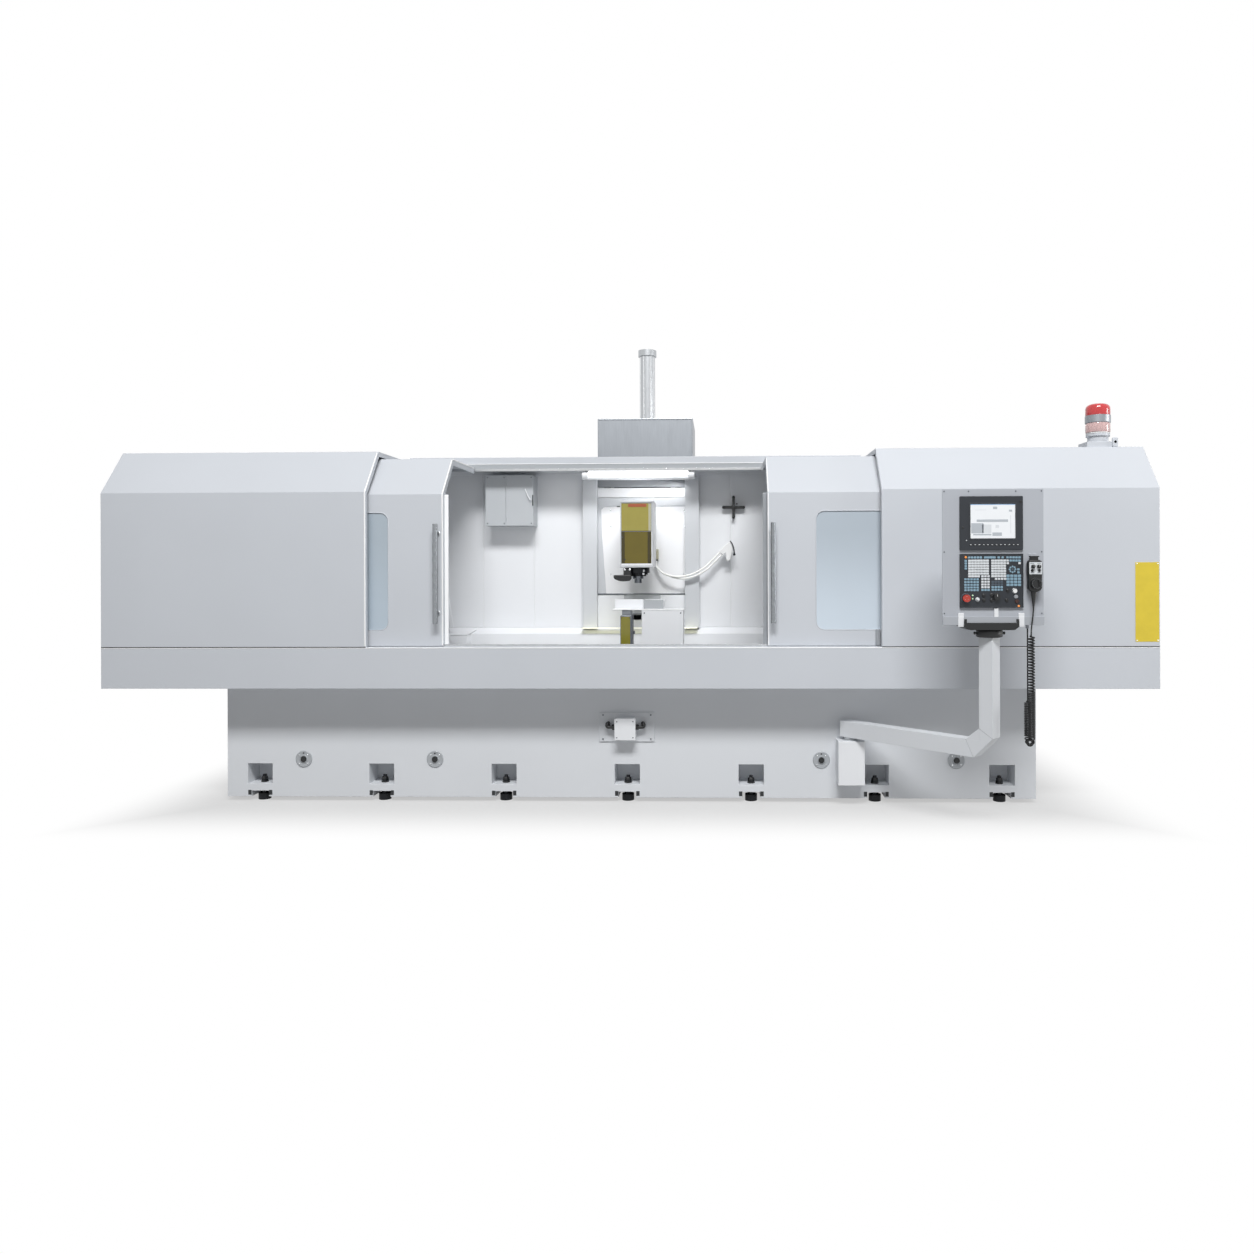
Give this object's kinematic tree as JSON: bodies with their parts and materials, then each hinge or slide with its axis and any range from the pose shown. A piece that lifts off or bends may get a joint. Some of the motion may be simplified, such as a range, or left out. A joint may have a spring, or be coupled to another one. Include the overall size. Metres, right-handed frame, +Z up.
{
  "type": "profile grinding machine",
  "caption": "Long-bed profile grinding machine with a full enclosure, sliding doors, travelling table, rear column with spindle head, and a control pendant on a swinging arm.",
  "frame": {"origin": "on the floor under the middle of the machine's footprint", "axes": "+X to the right along the table, +Y to the back towards the column, +Z up"},
  "size_m": [6.35, 2.7152, 3.135],
  "materials": {
    "enclosure_paint": "satin powder coat",
    "white_paint": "satin powder coat",
    "cast_paint": "painted cast iron",
    "ground_steel": "ground",
    "brushed_stainless": "brushed",
    "black_plastic": "matte",
    "black_steel": "black oxide",
    "window_blue": "tinted polycarbonate",
    "amber_pane": "tinted acrylic",
    "lamp_white": "lit diffuser",
    "red_lens": "clear and red lens",
    "red_plastic": "gloss",
    "white_plastic": "gloss",
    "cord_rubber": "matte",
    "hose_white": "smooth",
    "bellows_grey": "coated fabric"
  },
  "bodies": {
    "frame": {"bed_casting": "cast_paint", "guide_ways": "ground_steel", "leveling_feet": "black_steel", "lifting_bar_flanges": "white_paint", "bed_cable_box": "white_paint", "trough_tray": "enclosure_paint", "front_apron": "enclosure_paint", "left_cover": "enclosure_paint", "right_cover": "enclosure_paint", "rear_wall": "white_paint", "top_beam": "enclosure_paint", "door_tracks": "ground_steel", "guard_pillars": "white_paint", "work_lamp": "enclosure_paint", "lamp_tube": "lamp_white", "junction_box": "white_paint", "wash_gun": "white_plastic", "wash_hose": "hose_white", "column_casting": "cast_paint", "column_top_box": "brushed_stainless", "lift_cylinder": "brushed_stainless", "way_bellows": "bellows_grey", "table_rod": "ground_steel", "arm_mount": "enclosure_paint", "beacon_base": "enclosure_paint", "beacon_lens": "red_lens"},
    "table": {"work_table": "ground_steel", "table_cylinder": "ground_steel", "dresser_housing": "white_paint", "dresser_unit": "amber_pane"},
    "carriage": {"carriage": "cast_paint", "lift_rod": "ground_steel", "hose_manifold": "ground_steel"},
    "ram": {"spindle_head": "white_paint", "head_window": "amber_pane", "spindle_cartridge": "black_steel", "coolant_nozzle": "black_plastic"},
    "spindle": {"spindle_rotor": "ground_steel"},
    "left_door": {"left_door": "enclosure_paint", "left_window": "window_blue", "left_handle": "brushed_stainless"},
    "right_door": {"right_door": "enclosure_paint", "right_window": "window_blue", "right_handle": "brushed_stainless"},
    "box_door": {"junction_box_door": "white_paint"},
    "star_grip": {"star_handle": "black_plastic"},
    "arm": {"swing_arm": "white_paint"},
    "pendant": {"pendant_yoke": "black_steel", "pendant_cabinet": "enclosure_paint", "display_unit": "black_plastic", "operator_panel": "black_plastic", "handset_body": "black_plastic", "handset_cord": "cord_rubber", "cord_tail": "cord_rubber"},
    "estop": {"estop_button": "red_plastic"},
    "start": {"start_button": "white_plastic"},
    "override": {"override_knob": "black_plastic"},
    "hand_wheel": {"handset_wheel": "black_plastic"},
    "axis_knob": {"handset_axis_knob": "black_plastic"},
    "step_knob": {"handset_step_knob": "black_plastic"}
  },
  "joints": [
    {"name": "left_door_slide", "type": "slide", "parent": "frame", "child": "left_door", "axis": [1, 0, 0], "range_m": [-0.395, 1.059]},
    {"name": "right_door_slide", "type": "slide", "parent": "frame", "child": "right_door", "axis": [1, 0, 0], "range_m": [-0.859, 0.62]},
    {"name": "table_travel", "type": "slide", "parent": "frame", "child": "table", "axis": [1, 0, 0], "range_m": [-1.18, 1.18]},
    {"name": "carriage_lift", "type": "slide", "parent": "frame", "child": "carriage", "axis": [0, 0, 1], "range_m": [-0.4, 0.14], "deforming": ["way_bellows", "wash_hose"]},
    {"name": "ram_feed", "type": "slide", "parent": "carriage", "child": "ram", "axis": [0, 1, 0], "range_m": [-0.15, 0.09]},
    {"name": "spindle_spin", "type": "hinge", "parent": "ram", "child": "spindle", "pos_m": [0.03, -0.02242, 1.4], "axis": [0, 0, 1], "continuous": true},
    {"name": "box_door_swing", "type": "hinge", "parent": "frame", "child": "box_door", "pos_m": [-0.908, 0.15328, 1.9385], "axis": [0, 0, -1], "range_deg": [0, 110]},
    {"name": "star_grip_turn", "type": "hinge", "parent": "frame", "child": "star_grip", "pos_m": [0.681, 0.27758, 1.891], "axis": [0, 1, 0], "continuous": true},
    {"name": "arm_swing", "type": "hinge", "parent": "frame", "child": "arm", "pos_m": [1.379, -0.55742, 0.404], "axis": [0, 0, 1], "range_deg": [-85, 14]},
    {"name": "pendant_swivel", "type": "hinge", "parent": "arm", "child": "pendant", "pos_m": [2.04004, -1.21158, 1.079], "axis": [0, 0, 1], "range_deg": [-60, 60]},
    {"name": "estop_push", "type": "slide", "parent": "pendant", "child": "estop", "axis": [0, 1, 0], "range_m": [0, 0.005]},
    {"name": "start_push", "type": "slide", "parent": "pendant", "child": "start", "axis": [0, 1, 0], "range_m": [0, 0.003], "stiffness_N_per_m": 800, "springref_m": -0.001},
    {"name": "override_turn", "type": "hinge", "parent": "pendant", "child": "override", "pos_m": [2.05504, -1.30158, 1.3], "axis": [0, 1, 0], "range_deg": [-135, 135]},
    {"name": "hand_wheel_turn", "type": "hinge", "parent": "pendant", "child": "hand_wheel", "pos_m": [2.24904, -1.33658, 1.371], "axis": [0, 1, 0], "continuous": true},
    {"name": "axis_knob_turn", "type": "hinge", "parent": "pendant", "child": "axis_knob", "pos_m": [2.23404, -1.33658, 1.461], "axis": [0, 1, 0], "range_deg": [-60, 60]},
    {"name": "step_knob_turn", "type": "hinge", "parent": "pendant", "child": "step_knob", "pos_m": [2.26404, -1.33658, 1.461], "axis": [0, 1, 0], "range_deg": [-45, 45]}
  ]
}
